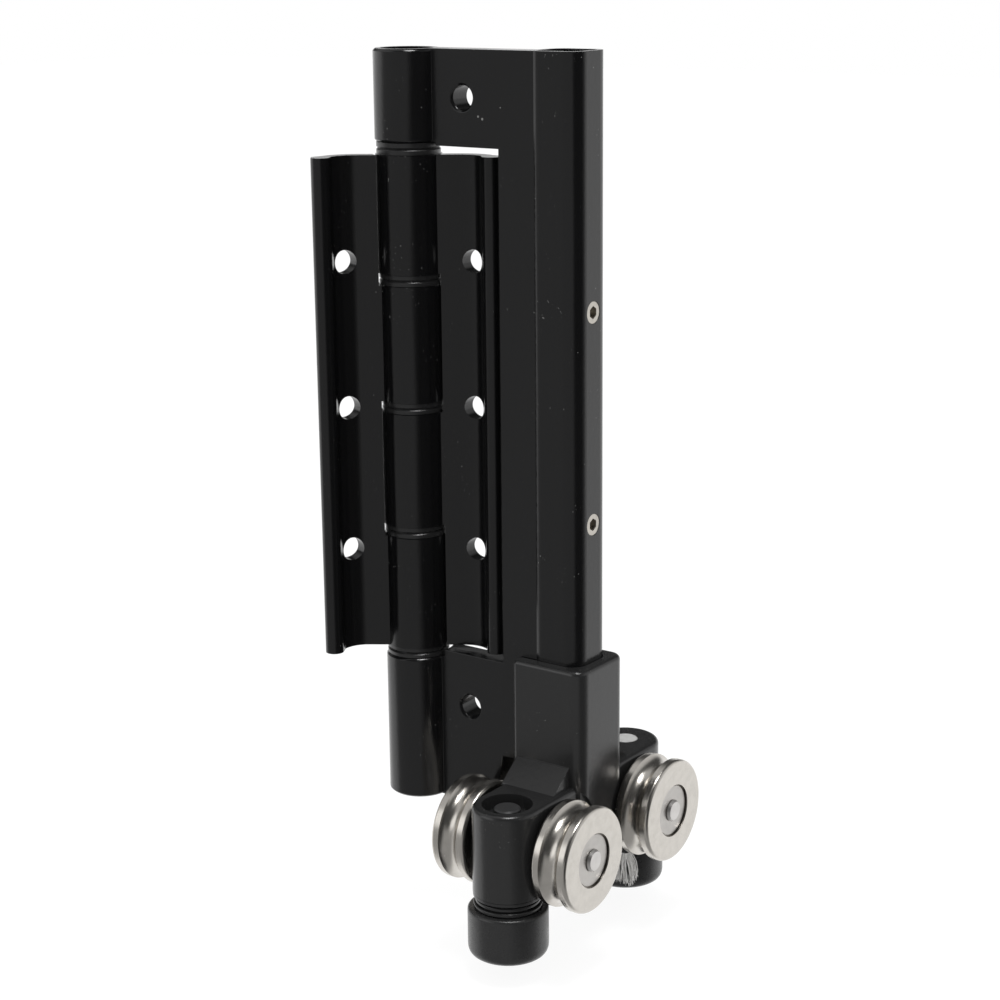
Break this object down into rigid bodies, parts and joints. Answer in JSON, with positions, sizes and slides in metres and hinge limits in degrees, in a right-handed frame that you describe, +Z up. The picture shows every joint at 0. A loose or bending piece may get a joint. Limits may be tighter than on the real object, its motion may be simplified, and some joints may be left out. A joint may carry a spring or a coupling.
{
  "type": "folding door hinge",
  "caption": "Hinge for folding door panels: two leaves on a pin between the arms of a frame, which slides for height in a carriage with track wheels and guide rollers.",
  "frame": {"origin": "front face of the frame's web, midway between its two screw holes", "axes": "+X from the hinge pin to the column, -Y out of the front of the web, +Z up along the pin; the track runs along Y"},
  "size_m": [0.0708, 0.067, 0.1968],
  "materials": {
    "frame_black": "satin black powder coat",
    "leaf_black": "satin black powder coat",
    "pin_steel": "dark steel",
    "bush_black": "black plastic, satin",
    "block_steel": "plain steel",
    "screw_steel": "stainless steel, satin",
    "carriage_black": "black powder coat, smoother than the frame",
    "axle_steel": "stainless steel, riveted ends",
    "wheel_steel": "turned stainless steel, satin",
    "bearing_steel": "bearing shield, darker steel",
    "roller_plastic": "black plastic, satin",
    "roller_pin_steel": "steel",
    "clip_steel": "spring steel",
    "holder_black": "black plastic",
    "bristle_white": "white and dark bristles"
  },
  "bodies": {
    "frame": {"hinge_frame": "frame_black", "hinge_pin": "pin_steel", "top_bush": "bush_black", "upper_bush": "bush_black", "middle_bush": "bush_black", "lower_bush": "bush_black", "bottom_bush": "bush_black", "adjuster_block": "block_steel", "lock_screws": "screw_steel"},
    "left_leaf": {"left_leaf": "leaf_black"},
    "right_leaf": {"right_leaf": "leaf_black"},
    "carriage": {"carriage_body": "carriage_black", "front_axle": "axle_steel", "rear_axle": "axle_steel", "front_roller_pin": "roller_pin_steel", "rear_roller_pin": "roller_pin_steel", "front_roller_clip": "clip_steel", "rear_roller_clip": "clip_steel", "adjuster_clip": "clip_steel", "brush_holder": "holder_black", "brush_bristles": "bristle_white"},
    "adjuster": {"adjuster_screw": "screw_steel"},
    "front_roller": {"front_guide_roller": "roller_plastic"},
    "rear_roller": {"rear_guide_roller": "roller_plastic"},
    "front_left_wheel": {"front_left_wheel": "wheel_steel", "front_left_bearing": "bearing_steel"},
    "front_right_wheel": {"front_right_wheel": "wheel_steel", "front_right_bearing": "bearing_steel"},
    "rear_left_wheel": {"rear_left_wheel": "wheel_steel", "rear_left_bearing": "bearing_steel"},
    "rear_right_wheel": {"rear_right_wheel": "wheel_steel", "rear_right_bearing": "bearing_steel"}
  },
  "joints": [
    {"name": "left_leaf_hinge", "type": "hinge", "parent": "frame", "child": "left_leaf", "pos_m": [-0.0155, 0.001, 0], "axis": [0, 0, 1], "range_deg": [-32, 57]},
    {"name": "right_leaf_hinge", "type": "hinge", "parent": "frame", "child": "right_leaf", "pos_m": [-0.0155, 0.001, 0], "axis": [0, 0, 1], "range_deg": [-10, 145]},
    {"name": "height_slide", "type": "slide", "parent": "frame", "child": "carriage", "axis": [0, 0, 1], "range_m": [-0.005, 0.0015]},
    {"name": "adjuster_turn", "type": "hinge", "parent": "carriage", "child": "adjuster", "pos_m": [0.02335, 0.0061, -0.05], "axis": [0, 0, 1], "range_deg": [-1450, 440]},
    {"name": "front_left_wheel_spin", "type": "hinge", "parent": "carriage", "child": "front_left_wheel", "pos_m": [0.00975, -0.0108, -0.0939], "axis": [1, 0, 0], "continuous": true},
    {"name": "front_right_wheel_spin", "type": "hinge", "parent": "carriage", "child": "front_right_wheel", "pos_m": [0.03695, -0.0108, -0.0939], "axis": [1, 0, 0], "continuous": true},
    {"name": "front_roller_spin", "type": "hinge", "parent": "carriage", "child": "front_roller", "pos_m": [0.02335, -0.0183, -0.1115], "axis": [0, 0, 1], "continuous": true},
    {"name": "rear_left_wheel_spin", "type": "hinge", "parent": "carriage", "child": "rear_left_wheel", "pos_m": [0.00975, 0.023, -0.0939], "axis": [1, 0, 0], "continuous": true},
    {"name": "rear_right_wheel_spin", "type": "hinge", "parent": "carriage", "child": "rear_right_wheel", "pos_m": [0.03695, 0.023, -0.0939], "axis": [1, 0, 0], "continuous": true},
    {"name": "rear_roller_spin", "type": "hinge", "parent": "carriage", "child": "rear_roller", "pos_m": [0.02335, 0.0305, -0.1115], "axis": [0, 0, 1], "continuous": true}
  ],
  "couplings": [
    {"joint": "adjuster_turn", "follows": "height_slide", "rad_per_m": 5026.5}
  ]
}
